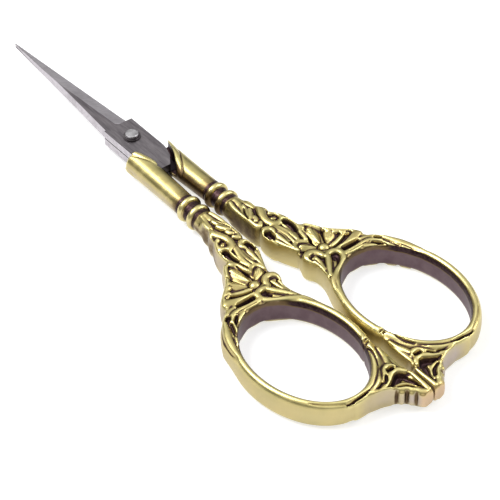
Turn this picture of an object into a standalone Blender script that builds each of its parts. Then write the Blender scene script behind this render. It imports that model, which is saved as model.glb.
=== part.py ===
# Embroidery scissors: two steel blades on a rivet, each held in a cast handle.
# Metres, +Z up. The scissors lie closed on their side: +Y runs to the tips, +X to the
# right handle, and the origin is under the middle of the box that they fill.
# The right handle holds the rear (lower) blade. The left handle and the front blade are
# the same two shapes, turned half a turn about the long axis between the blades.

import math

import bmesh
import bpy
from mathutils import Matrix, Vector
from mathutils.geometry import tessellate_polygon

MM = 0.001

# Blades
BLADE_REACH = 40.2 * MM  # pivot to tip
BLADE_THICKNESS = 1.5 * MM
BLADE_GAP = 0.2 * MM  # between the blades' inner faces
PLATE_HALF_WIDTH = 3.15 * MM  # the wide flat round the pivot
PLATE_TOP = 4.6 * MM  # pivot to the plate's square shoulder
BACK_HALF_WIDTH = 2.75 * MM  # middle line to the blade's back, just past the shoulder
TIP_HALF_WIDTH = 0.15 * MM
TIP_THICKNESS = 0.35 * MM
EDGE_BEVEL = 0.35 * MM  # the steep bevel of the cutting edge
BACK_THICKNESS = 0.25 * MM  # what the grinding leaves at the blade's back
GRIND_REACH = 22.5 * MM  # pivot to where the ground face takes the whole width
GRIND_RUNOUT = 1.0 * MM  # radius that the grinding wheel leaves at the shoulder
GRIND_START = -0.3 * MM  # the ridge's x next to the shoulder
PLATE_FREE_LENGTH = 5.8 * MM  # pivot to where the plate narrows
PLATE_FREE_DEPTH = 5.3 * MM  # the slanted edge below that
FREE_EDGE = [(0.24, 1.0), (0.74, 0.57), (0.93, 0.23)]  # shares of half width and of depth
TANG_WIDTH = 2.3 * MM
TANG_LENGTH = 5.2 * MM  # below the plate

# Pivot
SHANK_RADIUS = 0.85 * MM
HEAD_RADIUS = 1.3 * MM
HEAD_HEIGHT = 0.6 * MM
HEAD_ROUNDING = 0.25 * MM
TAIL_HEIGHT = 0.45 * MM
TAIL_TAPER = 0.62  # of the head's radius, at the tail's end
WASHER_RADIUS = 1.65 * MM
WASHER_THICKNESS = 0.2 * MM
RUNNING_CLEARANCE = 0.1 * MM  # round the shank
SEAT_GAP = 0.05 * MM  # between stacked faces

# Ferrule and collars, turned about the handle's own slanting axis
MOUTH_X = 2.6 * MM  # the axis at the mouth
COLLAR_X = 3.15 * MM  # the axis at the last collar
MOUTH_REACH = 5.0 * MM  # pivot to the ferrule's end
MOUTH_RADIUS = 2.4 * MM
WAIST_RADIUS = 2.25 * MM
COLLAR_RADIUS = 2.6 * MM
GROOVE_RADIUS = 2.0 * MM
COLLAR_WIDTH = 1.3 * MM
COLLAR_PITCH = 2.9 * MM
FERRULE_LENGTH = 17.0 * MM  # its end to the first collar's middle
BURIED_NECK = 4.0 * MM  # last collar to the end inside the carved plate
LIP_LENGTH = 5.0 * MM  # slant of the lip that holds the blade
OPENING_LENGTH = 8.6 * MM  # slant of the opening that clears the other blade
OPENING_X = 4.6 * MM  # where that slant starts at the mouth
OPENING_SLANT = [(1.0, 0.0), (0.6, 0.53), (0.3, 0.83)]  # shares of that x and length
POCKET_CLEARANCE = 0.15 * MM

# Handle plate, as wide as the bow
HANDLE_REACH = 84.8 * MM  # pivot to the end of the stop lugs
HANDLE_THICKNESS = 5.2 * MM
HOLE_HALF_WIDTH = 9.2 * MM
HOLE_HALF_LENGTH = 13.1 * MM
BOW_RIM = 1.85 * MM
HANDLE_GAP = 0.3 * MM  # between the closed handles
EDGE_ROUNDING = 0.5 * MM

# Carved part of the plate: a sunk ground with raised forms on both faces
GROUND_DEPTH = 0.85 * MM  # below the bow's faces
FORM_DEPTH = 0.1 * MM  # of the forms' tops below the bow's faces
FORM_SETBACK = 0.12 * MM  # of the forms from the plate's edge
BUTTON_RADIUS = 1.0 * MM
BUTTON_PLACE = (0.543, 0.344)  # along and across, as in the lists of the carved edges
PETALS = [(137, 2.3, 0.46), (79, 3.1, 0.59), (41, 2.75, 0.58)]  # degrees; length, half width
PETAL_SWELL = [(0.35, 0.2), (0.6, 0.75), (0.88, 1.0), (1.0, 0.7)]  # of the length and the width

# Stop lug, thinner than the plate, with a hollow outer side that has upright ribs
LUG_LENGTH = 5.1 * MM  # past the bow
LUG_THICKNESS = 3.8 * MM
LUG_END_WIDTH = 2.4 * MM
LUG_ROOT_WIDTH = 7.4 * MM
LUG_CORNER = 0.5 * MM
LUG_FLUTE_RADIUS = 0.42 * MM
LUG_FLUTES = [0.25, 0.45, 0.68]  # shares of its length, between the ribs
LUG_POCKET = [  # shares of its root width and length
    (0.115, 0.37), (0.108, 0.90), (0.21, 1.23), (0.37, 1.27), (0.60, 1.04), (0.55, 0.86),
    (0.345, 0.71), (0.18, 0.37),
]
POCKET_DEPTH = 0.9 * MM
NOTCH_LENGTH = 6.2 * MM  # the hollow between the bow's inner leg and the lug
NOTCH_DEPTH = 1.9 * MM
NOTCH = [(1.0, 0.9), (0.7, 1.0), (0.4, 0.97), (0.18, 0.5), (0.0, 0.0)]  # shares of both

# Worked out from the sizes above
MIDDLE_Z = HANDLE_THICKNESS / 2  # the plane between the blades
PIVOT_Y = (HANDLE_REACH - BLADE_REACH) / 2
BOW_HALF_WIDTH = HOLE_HALF_WIDTH + BOW_RIM
BOW_HALF_LENGTH = HOLE_HALF_LENGTH + BOW_RIM
BOW_X = HANDLE_GAP / 2 + BOW_HALF_WIDTH
BOW_Y = -(HANDLE_REACH - LUG_LENGTH - BOW_HALF_LENGTH)
BLADE_BOTTOM = BLADE_GAP / 2
BLADE_TOP = BLADE_BOTTOM + BLADE_THICKNESS
COLLAR_Y = -(MOUTH_REACH + FERRULE_LENGTH + COLLAR_PITCH)
NECK_Y = COLLAR_Y - COLLAR_WIDTH
PLATE_END = PLATE_FREE_LENGTH + PLATE_FREE_DEPTH
FINE = 0.02 * MM


def material(name, colour, roughness):
    made = bpy.data.materials.new(name)
    made.use_nodes = True
    shader = made.node_tree.nodes["Principled BSDF"]
    shader.inputs["Base Color"].default_value = (*colour, 1)
    shader.inputs["Metallic"].default_value = 1.0
    shader.inputs["Roughness"].default_value = roughness
    return made


def prism(outline, low, high):
    """A bmesh with the outline as its floor at z = low and its roof at z = high."""
    bm = bmesh.new()
    floor = bm.faces.new([bm.verts.new((x, y, low)) for x, y in outline])
    raised = bmesh.ops.extrude_face_region(bm, geom=[floor])["geom"]
    roof = [v for v in raised if isinstance(v, bmesh.types.BMVert)]
    bmesh.ops.translate(bm, verts=roof, vec=(0, 0, high - low))
    return bm


def turned(profile, steps=28):
    """A bmesh turned about Y from (radius, y) points, closed on the axis at both ends."""
    bm = bmesh.new()
    points = [(0, profile[0][1]), *profile, (0, profile[-1][1])]
    verts = [bm.verts.new((radius, y, 0)) for radius, y in points]
    edges = [bm.edges.new(pair) for pair in zip(verts, verts[1:])]
    bmesh.ops.spin(
        bm, geom=verts + edges, cent=(0, 0, 0), axis=(0, 1, 0), angle=math.tau, steps=steps
    )
    bmesh.ops.remove_doubles(bm, verts=bm.verts, dist=FINE / 100)
    return bm


def lofted(sections):
    """A closed bmesh through sections of equally many (x, y, z) points."""
    bm = bmesh.new()
    rings = [[bm.verts.new(place) for place in section] for section in sections]
    for first, second in zip(rings, rings[1:]):
        for i in range(len(first)):
            j = (i + 1) % len(first)
            bm.faces.new((first[i], first[j], second[j], second[i]))
    bm.faces.new(rings[0][::-1])
    bm.faces.new(rings[-1])
    return bm


def inset_loop(loop, distance):
    """The loop moved into the material on its left by the distance, corners mitred."""
    made = []
    for before, here, after in zip(loop[-1:] + loop[:-1], loop, loop[1:] + loop[:1]):
        come = (Vector(here) - Vector(before)).normalized()
        go = (Vector(after) - Vector(here)).normalized()
        normal = Vector((-come.y - go.y, come.x + go.x)).normalized()
        mitre = max(0.5, normal.dot(Vector((-come.y, come.x))))
        made.append(tuple(Vector(here) + normal * (distance / mitre)))
    return made


def rounded_plate(loops, half_thickness, rounding, steps=3):
    """A plate about z = 0 with rounded rims. Its material lies on the left of each loop."""
    bm = bmesh.new()
    upper = [
        (rounding * (1 - math.cos(math.pi / 2 * k / steps)),
         half_thickness - rounding * (1 - math.sin(math.pi / 2 * k / steps)))
        for k in range(steps + 1)
    ]
    levels = [(inset, -z) for inset, z in upper[::-1]] + upper
    ends = {-1: [], 1: []}
    for loop in loops:
        rings = [
            [bm.verts.new((x, y, z)) for x, y in inset_loop(loop, inset)] for inset, z in levels
        ]
        for low, high in zip(rings, rings[1:]):
            for i in range(len(loop)):
                j = (i + 1) % len(loop)
                bm.faces.new((low[i], low[j], high[j], high[i]))
        ends[-1].append(rings[0])
        ends[1].append(rings[-1])
    for rings in ends.values():
        flat = [vert for ring in rings for vert in ring]
        for corners in tessellate_polygon([[v.co.to_2d().to_3d() for v in ring] for ring in rings]):
            bm.faces.new([flat[i] for i in corners])
    return bm


def combined(base, others, operation):
    """The base with each of the others joined to it or cut from it, in turn."""
    result = mesh_of(base, "base")
    for other in others:
        holder = bpy.data.objects.new("holder", result)
        cutter = bpy.data.objects.new("cutter", mesh_of(other, "cutter"))
        for each in (holder, cutter):
            bpy.context.scene.collection.objects.link(each)
        step = holder.modifiers.new("step", "BOOLEAN")
        step.operation = operation
        step.solver = "EXACT"
        step.object = cutter
        graph = bpy.context.evaluated_depsgraph_get()
        result = bpy.data.meshes.new_from_object(holder.evaluated_get(graph))
        for each in (holder, cutter):
            bpy.data.objects.remove(each)
    bm = bmesh.new()
    bm.from_mesh(result)
    return bm


def mesh_of(bm, name):
    bmesh.ops.recalc_face_normals(bm, faces=bm.faces)
    made = bpy.data.meshes.new(name)
    bm.to_mesh(made)
    bm.free()
    return made


def placed(name, mesh, finish, parent, turned_over=False):
    """The mesh as an object under its empty. Turned over, it changes sides and faces."""
    if turned_over:
        mesh = mesh.copy()
        mesh.transform(Matrix.Rotation(math.pi, 4, "Y"))
    mesh.materials.clear()
    mesh.materials.append(finish)
    mesh.shade_smooth()
    mesh.set_sharp_from_angle(angle=math.radians(35))
    made = bpy.data.objects.new(name, mesh)
    made.parent = parent
    bpy.context.scene.collection.objects.link(made)
    return made


# Blade, modelled as the front one: its inner face is at z = BLADE_BOTTOM. Its cutting
# edge is on the left, and its back, on the right, is ground thin.

def along_blade(at_shoulder, at_tip, y):
    share = (y - PLATE_TOP) / (BLADE_REACH - PLATE_TOP)
    return at_shoulder + (at_tip - at_shoulder) * share


def edge_x(y):
    return -along_blade(PLATE_HALF_WIDTH, TIP_HALF_WIDTH, y)


def back_x(y):
    return along_blade(BACK_HALF_WIDTH, TIP_HALF_WIDTH, y)


def bevel_width(y):
    return along_blade(EDGE_BEVEL, EDGE_BEVEL / 4, y)


def ridge_height(y):
    """Full thickness up to the end of the flat, then falling to the tip's thickness."""
    share = max(0.0, (y - GRIND_REACH) / (BLADE_REACH - GRIND_REACH))
    return BLADE_BOTTOM + BLADE_THICKNESS + (TIP_THICKNESS - BLADE_THICKNESS) * share


def ridge_x(y):
    """The line where the ground face meets the flat, straight to the cutting bevel."""
    start = PLATE_TOP + GRIND_RUNOUT
    meeting = edge_x(GRIND_REACH) + bevel_width(GRIND_REACH)
    if y >= GRIND_REACH:
        return edge_x(y) + bevel_width(y)
    return GRIND_START + (meeting - GRIND_START) * (y - start) / (GRIND_REACH - start)


def grinding():
    """What the wheel takes off: a slope from the ridge down to the blade's thin back."""
    beyond = BLADE_THICKNESS
    roof = BLADE_TOP + beyond
    stations = []
    for k in range(6):
        turn = math.pi / 2 * k / 6
        y = PLATE_TOP + GRIND_RUNOUT * (1 - math.cos(turn))
        stations.append((y, GRIND_START + GRIND_RUNOUT * (1 - math.sin(turn))))
    length = BLADE_REACH + beyond - PLATE_TOP - GRIND_RUNOUT
    for k in range(17):
        y = PLATE_TOP + GRIND_RUNOUT + length * k / 16
        stations.append((y, ridge_x(y)))
    return lofted([
        [
            (edge_x(y) - beyond, y, ridge_height(y) + beyond / 4),
            (ridge, y, ridge_height(y)),
            (back_x(y), y, BLADE_BOTTOM + BACK_THICKNESS),
            (back_x(y) + beyond, y, BLADE_BOTTOM + BACK_THICKNESS),
            (back_x(y) + beyond, y, roof),
            (edge_x(y) - beyond, y, roof),
        ]
        for y, ridge in stations
    ])


def bevelling():
    """What sharpening takes off the left side: a steep bevel down to the inner face."""
    over = 0.2
    sections = []
    for y in (PLATE_TOP, BLADE_REACH + BLADE_THICKNESS):
        rise = BLADE_THICKNESS * over
        shift = bevel_width(y) * over
        sections.append([
            (edge_x(y) - shift, y, BLADE_BOTTOM - rise),
            (edge_x(y) + bevel_width(y) + shift, y, BLADE_TOP + rise),
            (edge_x(y) - BLADE_THICKNESS, y, BLADE_TOP + rise),
            (edge_x(y) - BLADE_THICKNESS, y, BLADE_BOTTOM - rise),
        ])
    return lofted(sections)


def plate_outline(clearance=0.0):
    """From the shoulder on the right down the free edge and round the tang to the left."""
    tang_x = -ferrule_x(-(PLATE_END + TANG_LENGTH / 2))
    side = PLATE_HALF_WIDTH + clearance
    left = tang_x - TANG_WIDTH / 2 - clearance
    right = tang_x + TANG_WIDTH / 2 + clearance
    tang_end = -PLATE_END - TANG_LENGTH - clearance
    return [
        (-side, PLATE_TOP),
        (-side, -PLATE_FREE_LENGTH),
        (left, -PLATE_FREE_LENGTH - PLATE_FREE_DEPTH / 3),
        (left, tang_end),
        (right, tang_end),
        (right, -PLATE_END - clearance),
        *[(side * across, -PLATE_FREE_LENGTH - PLATE_FREE_DEPTH * down - clearance)
          for across, down in FREE_EDGE],
        (side, -PLATE_FREE_LENGTH),
        (side, PLATE_TOP),
    ]


def blade_outline():
    tip = [(back_x(BLADE_REACH), BLADE_REACH), (edge_x(BLADE_REACH), BLADE_REACH)]
    return plate_outline() + [(BACK_HALF_WIDTH, PLATE_TOP)] + tip


def disc(radius, low, high, steps=32):
    turns = [math.tau * k / steps for k in range(steps)]
    return prism([(radius * math.cos(t), radius * math.sin(t)) for t in turns], low, high)


def blade_mesh():
    blank = prism(blade_outline(), BLADE_BOTTOM, BLADE_TOP)
    hole = disc(SHANK_RADIUS + RUNNING_CLEARANCE, 0, BLADE_TOP * 2)
    return mesh_of(combined(blank, [grinding(), bevelling(), hole], "DIFFERENCE"), "blade")


# Handle, modelled as the right one, which holds the rear blade below z = 0

def ferrule_x(y):
    """The ferrule's axis, which leaves the middle line a little towards the bow."""
    share = (-y - MOUTH_REACH) / (-COLLAR_Y - MOUTH_REACH)
    return MOUTH_X + (COLLAR_X - MOUTH_X) * share


def collar_profile(y):
    """A rounded bead about the collar's middle, from its mouth side to its bow side."""
    steps = 6
    return [
        (GROOVE_RADIUS + (COLLAR_RADIUS - GROOVE_RADIUS) * math.sin(math.pi * k / steps) ** 0.6,
         y + COLLAR_WIDTH / 2 * math.cos(math.pi * k / steps))
        for k in range(steps + 1)
    ]


def ferrule():
    mouth = -MOUTH_REACH
    waist = -(MOUTH_REACH + FERRULE_LENGTH - COLLAR_WIDTH)
    profile = [
        (MOUTH_RADIUS, mouth),
        (MOUTH_RADIUS, mouth - FERRULE_LENGTH / 3),
        ((MOUTH_RADIUS + WAIST_RADIUS) / 2, mouth - FERRULE_LENGTH * 0.6),
        (WAIST_RADIUS, waist),
        *collar_profile(COLLAR_Y + COLLAR_PITCH),
        *collar_profile(COLLAR_Y),
        (GROOVE_RADIUS, NECK_Y - BURIED_NECK),
    ]
    bm = turned(profile)
    slant = math.atan2(COLLAR_X - MOUTH_X, -COLLAR_Y - MOUTH_REACH)
    move = Matrix.Translation((ferrule_x(mouth), mouth, 0))
    bm.transform(move @ Matrix.Rotation(slant, 4, "Z") @ Matrix.Translation((0, MOUTH_REACH, 0)))
    return bm


def mouth_cutters():
    """The slanting lip below, the opening for the other blade above, and the pocket."""
    end = -MOUTH_REACH
    axis = MOUTH_X
    away = 3 * MOUTH_RADIUS
    lip = [(axis, end), (HANDLE_GAP, end - LIP_LENGTH), (-away, end - LIP_LENGTH), (-away, away),
           (axis, away)]
    opening = [
        *[(OPENING_X * across, end - OPENING_LENGTH * down) for across, down in OPENING_SLANT],
        (HANDLE_GAP, end - OPENING_LENGTH),
        (-away, end - OPENING_LENGTH),
        (-away, away),
        (OPENING_X, away),
    ]
    pocket = [(-x, y) for x, y in plate_outline(POCKET_CLEARANCE)][::-1]
    return [
        prism(lip, -away, FINE),
        prism(opening, -FINE, away),
        prism(pocket, -BLADE_TOP - POCKET_CLEARANCE, -BLADE_BOTTOM + POCKET_CLEARANCE),
    ]


def ellipse(half_width, half_length, start, end, steps):
    """Points on an ellipse round the bow's middle, from one angle in degrees to another."""
    made = []
    for k in range(steps + 1):
        turn = math.radians(start + (end - start) * k / steps)
        made.append((BOW_X + half_width * math.cos(turn), BOW_Y + half_length * math.sin(turn)))
    return made


# Edges of the carved plate: shares of the way from neck to bow middle, and of the width

CARVED_OUTER = [
    (0.747, 0.921), (0.70, 0.885), (0.652, 0.84), (0.585, 0.735), (0.56, 0.715), (0.485, 0.60),
    (0.413, 0.51), (0.345, 0.42), (0.335, 0.387), (0.29, 0.385), (0.21, 0.362), (0.145, 0.313),
    (0.065, 0.262), (0.0, 0.22),
]
CARVED_INNER = [
    (0.0, 0.075), (0.09, 0.063), (0.25, 0.068), (0.32, 0.063), (0.40, 0.108), (0.48, 0.15),
    (0.55, 0.122), (0.61, 0.167), (0.69, 0.14), (0.77, 0.085),
]
INNER_LEG_ANGLE = 155  # degrees round the bow, where its inner leg meets the carved edge
OUTER_LEG_ANGLE = 20  # and where it meets the outer carved edge
LUG_ANGLES = (212, 256)  # the lug's root on the bow

# Raised forms: the same shares, and the half width in bow rims

CARVED_FORMS = [
    # neck leaf and its lobe
    [(0.062, 0.079, 0.30), (0.125, 0.076, 0.32), (0.187, 0.074, 0.27), (0.233, 0.088, 0.30),
     (0.236, 0.135, 0.16)],
    [(0.036, 0.157, 0.32), (0.109, 0.135, 0.35), (0.171, 0.108, 0.32)],
    # outer scroll and its stems
    [(0.137, 0.252, 0.30), (0.202, 0.202, 0.32), (0.246, 0.189, 0.30), (0.278, 0.216, 0.30),
     (0.285, 0.261, 0.27), (0.267, 0.306, 0.24), (0.236, 0.315, 0.22)],
    [(0.156, 0.283, 0.16), (0.254, 0.337, 0.22), (0.322, 0.346, 0.27), (0.399, 0.319, 0.27),
     (0.451, 0.292, 0.16)],
    [(0.291, 0.198, 0.22), (0.348, 0.220, 0.41), (0.425, 0.225, 0.27)],
    # inner scroll and the long leaf in it
    [(0.420, 0.067, 0.16), (0.363, 0.061, 0.24), (0.311, 0.072, 0.27), (0.283, 0.103, 0.27),
     (0.296, 0.153, 0.22)],
    [(0.332, 0.144, 0.16), (0.374, 0.144, 0.38), (0.425, 0.153, 0.32), (0.472, 0.157, 0.16)],
    # frame round the flower
    [(0.374, 0.355, 0.27), (0.363, 0.396, 0.30), (0.412, 0.458, 0.27), (0.472, 0.535, 0.27),
     (0.511, 0.598, 0.30), (0.560, 0.661, 0.32)],
    # bands between the flower and the bow, and the leaf that runs out on the bow
    [(0.591, 0.413, 0.22), (0.586, 0.503, 0.32), (0.576, 0.593, 0.41), (0.568, 0.670, 0.27)],
    [(0.641, 0.422, 0.24), (0.638, 0.584, 0.27), (0.643, 0.674, 0.27), (0.682, 0.733, 0.27)],
    [(0.604, 0.611, 0.19), (0.625, 0.728, 0.24), (0.680, 0.804, 0.27), (0.752, 0.872, 0.43),
     (0.799, 0.908, 0.43)],
    # arch, looped ribbon and ribs down to the inner leg
    [(0.602, 0.139, 0.19), (0.565, 0.139, 0.27), (0.542, 0.184, 0.30), (0.542, 0.234, 0.30),
     (0.576, 0.270, 0.24)],
    [(0.597, 0.297, 0.22), (0.590, 0.360, 0.22), (0.612, 0.404, 0.24), (0.649, 0.391, 0.24),
     (0.677, 0.305, 0.22), (0.718, 0.192, 0.22), (0.772, 0.100, 0.20)],
    [(0.615, 0.292, 0.22), (0.651, 0.243, 0.24), (0.711, 0.175, 0.16)],
    [(0.612, 0.175, 0.14), (0.649, 0.166, 0.19), (0.711, 0.135, 0.22)],
]


def carved_points(shares):
    width = BOW_X + BOW_HALF_WIDTH
    return [(across * width, NECK_Y + along * (BOW_Y - NECK_Y)) for along, across in shares]


def bow():
    outer = ellipse(BOW_HALF_WIDTH, BOW_HALF_LENGTH, 0, 360, 56)[:-1]
    hole = ellipse(HOLE_HALF_WIDTH, HOLE_HALF_LENGTH, 0, -360, 44)[:-1]
    return rounded_plate([outer, hole], HANDLE_THICKNESS / 2, EDGE_ROUNDING)


def carved_outline():
    """Through the bow's metal, up the outer carved edge and down the inner one."""
    inside_bow = ellipse(
        BOW_HALF_WIDTH - BOW_RIM / 2, BOW_HALF_LENGTH - BOW_RIM / 2,
        INNER_LEG_ANGLE, OUTER_LEG_ANGLE, 18,
    )
    return inside_bow + carved_points(CARVED_OUTER) + carved_points(CARVED_INNER)


def carved_ground():
    half_thickness = HANDLE_THICKNESS / 2 - GROUND_DEPTH
    return rounded_plate([carved_outline()], half_thickness, EDGE_ROUNDING / 3)


def form(points, half_widths):
    """A ridge through the plate, so that it stands on both faces."""
    left = []
    right = []
    for i, (here, half_width) in enumerate(zip(points, half_widths)):
        course = Vector(points[min(i + 1, len(points) - 1)]) - Vector(points[max(i - 1, 0)])
        across = Vector((-course.y, course.x)).normalized() * half_width
        left.append(tuple(Vector(here) + across))
        right.append(tuple(Vector(here) - across))
    top = HANDLE_THICKNESS / 2 - FORM_DEPTH
    return prism(right + left[::-1], -top, top)


def raised_forms():
    made = [
        form(carved_points([(along, across) for along, across, _ in rows]),
             [width * BOW_RIM for _, _, width in rows])
        for rows in CARVED_FORMS
    ]
    middle = Vector(carved_points([BUTTON_PLACE])[0])
    for degrees, length, half_width in PETALS:
        course = Vector((math.cos(math.radians(degrees)), math.sin(math.radians(degrees))))
        made.append(form(
            [tuple(middle + course * (length * share * BOW_RIM)) for share, _ in PETAL_SWELL],
            [half_width * swell * BOW_RIM for _, swell in PETAL_SWELL],
        ))
    top = HANDLE_THICKNESS / 2 - FORM_DEPTH / 2
    button = disc(BUTTON_RADIUS, -top, top, 14)
    bmesh.ops.translate(button, verts=button.verts, vec=(*middle, 0))
    joined = combined(button, made, "UNION")
    limit = prism(inset_loop(carved_outline(), FORM_SETBACK), -HANDLE_THICKNESS, HANDLE_THICKNESS)
    return combined(joined, [limit], "INTERSECT")


def lug_side(share):
    """A point on the lug's outer side, from its end (0) to its root (1)."""
    across = LUG_END_WIDTH + (LUG_ROOT_WIDTH - LUG_END_WIDTH) * share**2
    return (HANDLE_GAP / 2 + across, LUG_LENGTH * share - HANDLE_REACH)


def lug():
    """Out along the hollow side, back inside the bow's rim and down the inner notch."""
    inner = HANDLE_GAP / 2
    notch_end = -HANDLE_REACH + LUG_LENGTH * 1.08
    rim = ellipse(
        BOW_HALF_WIDTH - BOW_RIM / 2, BOW_HALF_LENGTH - BOW_RIM / 2, *LUG_ANGLES[::-1], 6
    )
    notch = [
        (inner + NOTCH_DEPTH * depth, notch_end + NOTCH_LENGTH * along) for along, depth in NOTCH
    ]
    corner = (inner + LUG_END_WIDTH - LUG_CORNER, -HANDLE_REACH)
    side = [lug_side(k / 8) for k in range(1, 9)]
    outline = [(inner, -HANDLE_REACH), corner] + side + rim + notch
    return rounded_plate([outline], LUG_THICKNESS / 2, EDGE_ROUNDING / 3)


def lug_cutters():
    """A hollow in each face, and upright grooves in the outer side."""
    hollow = [
        (HANDLE_GAP / 2 + LUG_ROOT_WIDTH * across, LUG_LENGTH * along - HANDLE_REACH)
        for across, along in LUG_POCKET
    ]
    floor = LUG_THICKNESS / 2 - POCKET_DEPTH
    made = [prism(hollow, floor, LUG_THICKNESS), prism(hollow, -LUG_THICKNESS, -floor)]
    for share in LUG_FLUTES:
        cutter = disc(LUG_FLUTE_RADIUS, -HANDLE_THICKNESS, HANDLE_THICKNESS, 12)
        bmesh.ops.translate(cutter, verts=cutter.verts, vec=(*lug_side(share), 0))
        made.append(cutter)
    return made


def handle_mesh():
    hollow_lug = combined(lug(), lug_cutters(), "DIFFERENCE")
    joined = combined(bow(), [carved_ground(), hollow_lug, raised_forms(), ferrule()], "UNION")
    return mesh_of(combined(joined, mouth_cutters(), "DIFFERENCE"), "handle")


# Pivot pieces, turned about Y first and then stood upright

def upright(bm):
    bm.transform(Matrix.Rotation(math.pi / 2, 4, "X"))
    return bm


def rivet_mesh():
    """Tail, shank and head; the head is on top, with a rounded rim."""
    seat = BLADE_TOP + WASHER_THICKNESS + 2 * SEAT_GAP
    rim = [
        (HEAD_RADIUS - HEAD_ROUNDING * (1 - math.cos(math.pi / 2 * k / 3)),
         seat + HEAD_HEIGHT - HEAD_ROUNDING * (1 - math.sin(math.pi / 2 * k / 3)))
        for k in range(4)
    ]
    tail = [
        (HEAD_RADIUS * TAIL_TAPER, -seat - TAIL_HEIGHT),
        (HEAD_RADIUS, -seat - TAIL_HEIGHT / 2),
        (HEAD_RADIUS, -seat),
    ]
    return mesh_of(
        upright(turned([*tail, (SHANK_RADIUS, -seat), (SHANK_RADIUS, seat), (HEAD_RADIUS, seat),
                        *rim])),
        "rivet",
    )


def washer_mesh():
    low = BLADE_TOP + SEAT_GAP
    ring = disc(WASHER_RADIUS, low, low + WASHER_THICKNESS)
    bore = disc(SHANK_RADIUS + RUNNING_CLEARANCE, 0, 2 * BLADE_TOP)
    return mesh_of(combined(ring, [bore], "DIFFERENCE"), "washer")


def empty(name):
    made = bpy.data.objects.new(name, None)
    made.location = (0, PIVOT_Y, MIDDLE_Z)
    bpy.context.scene.collection.objects.link(made)
    return made


def build():
    for old in list(bpy.data.objects):
        bpy.data.objects.remove(old)
    brass = material("antique_brass", (0.5, 0.42, 0.2), 0.4)
    steel = material("blade_steel", (0.42, 0.4, 0.42), 0.35)
    bright = material("rivet_steel", (0.6, 0.6, 0.6), 0.25)
    right_half = empty("right_half")
    left_half = empty("left_half")
    blade = blade_mesh()
    handle = handle_mesh()
    washer = washer_mesh()
    placed("right_handle", handle, brass, right_half)
    placed("left_handle", handle, brass, left_half, turned_over=True)
    placed("front_blade", blade, steel, left_half)
    placed("rear_blade", blade, steel, right_half, turned_over=True)
    placed("pivot_rivet", rivet_mesh(), bright, right_half)
    placed("head_washer", washer, bright, right_half)
    placed("tail_washer", washer, bright, right_half, turned_over=True)


build()
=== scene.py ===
import math
from types import SimpleNamespace

import bpy
import numpy as np
from mathutils import Matrix, Vector

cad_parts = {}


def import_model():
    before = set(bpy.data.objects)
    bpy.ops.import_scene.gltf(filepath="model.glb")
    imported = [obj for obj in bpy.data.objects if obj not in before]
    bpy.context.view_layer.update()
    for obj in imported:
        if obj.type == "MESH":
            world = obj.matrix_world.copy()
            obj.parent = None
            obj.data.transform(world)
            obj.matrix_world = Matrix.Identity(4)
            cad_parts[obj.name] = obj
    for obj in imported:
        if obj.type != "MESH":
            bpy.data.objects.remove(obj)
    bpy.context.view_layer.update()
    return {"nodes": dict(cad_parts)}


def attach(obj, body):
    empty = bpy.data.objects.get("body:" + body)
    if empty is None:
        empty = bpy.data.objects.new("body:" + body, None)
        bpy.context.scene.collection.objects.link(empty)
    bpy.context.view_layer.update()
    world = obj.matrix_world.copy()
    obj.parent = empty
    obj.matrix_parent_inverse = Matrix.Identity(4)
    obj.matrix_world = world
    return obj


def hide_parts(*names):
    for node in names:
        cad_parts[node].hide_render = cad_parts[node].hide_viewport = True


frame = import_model()

# The looks of the embroidery scissors. The two cast handles are one mesh, made here with its
# carving and turned over for the left half. Blades, rivet and washers only get materials.
#
# Lengths are in mm. Places are the right handle's, from the pivot: x outwards, y towards the
# tips of the blades, z up from the plane between the blades.

MM = 0.001
PIVOT_Y = 22.3
MIDDLE_Z = 2.6
HALF_THICKNESS = 2.6

# The grid on which the handle is a distance field
PITCH = 0.15
GRID_LOW = np.array([-0.4, -85.25, -2.9])
GRID_HIGH = np.array([22.7, -4.6, 2.9])

# Bow: an oval round the finger hole
BOW_X, BOW_Y = 11.2, -64.75
HOLE = (9.2, 13.1)  # half width, half length
RIM = 1.85
BOW_TURN = (155, 380)  # degrees of the oval that lie on the outline
BOW_EDGE = 1.75  # half thickness at the bow's edges, and how far its middle rises over that
BOW_CROWN = 0.82
BOW_CROWN_AT, BOW_CROWN_REACH = 0.93, 1.05  # its distance from the edges, and how wide it is
HOLE_LIP = 2.15  # half thickness of the hole's edge where the plate is carved
HOLE_LIP_WIDTH = (0.45, 0.7)  # where it starts to fall to the carving, and where it ends

# Plate between bow and ferrule: its outer and inner side, from the bow to the collars and back
OUTER = [
    (20.6, -55.0), (19.6, -53.2), (18.7, -51.9), (18.0, -51.2), (17.1, -50.3), (16.4, -49.7),
    (15.6, -49.0), (15.7, -48.2), (15.2, -47.2), (14.4, -46.2), (13.3, -45.2), (12.3, -44.3),
    (11.5, -43.4), (10.9, -42.6), (10.3, -41.5), (9.7, -40.5), (9.0, -39.8), (8.5, -39.75),
    (8.2, -39.3), (8.15, -38.2), (7.95, -36.8), (7.6, -35.6), (7.1, -34.5), (6.5, -33.7),
    (6.5, -32.7), (6.3, -32.0), (5.8, -31.3), (5.5, -30.8), (5.5, -29.8), (5.3, -28.8),
    (4.9, -28.0), (4.6, -27.0), (4.5, -25.5),
]
INNER = [
    (1.7, -25.5), (1.5, -27.0), (1.25, -28.5), (1.2, -30.0), (1.2, -33.0), (1.25, -35.5),
    (1.7, -36.4), (1.3, -37.2), (1.1, -38.6), (1.3, -40.5), (1.9, -42.0), (2.7, -43.8),
    (3.2, -45.2), (2.9, -46.4), (2.6, -47.6), (2.9, -48.8), (3.5, -50.0), (3.4, -52.0),
    (2.8, -53.9), (1.95, -56.0), (1.2, -58.3),
]
GROUND = 1.72  # half thickness of the sunk ground between the carved forms
BARREL = 0.36  # how far the outer walls curve in at their edges
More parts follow.
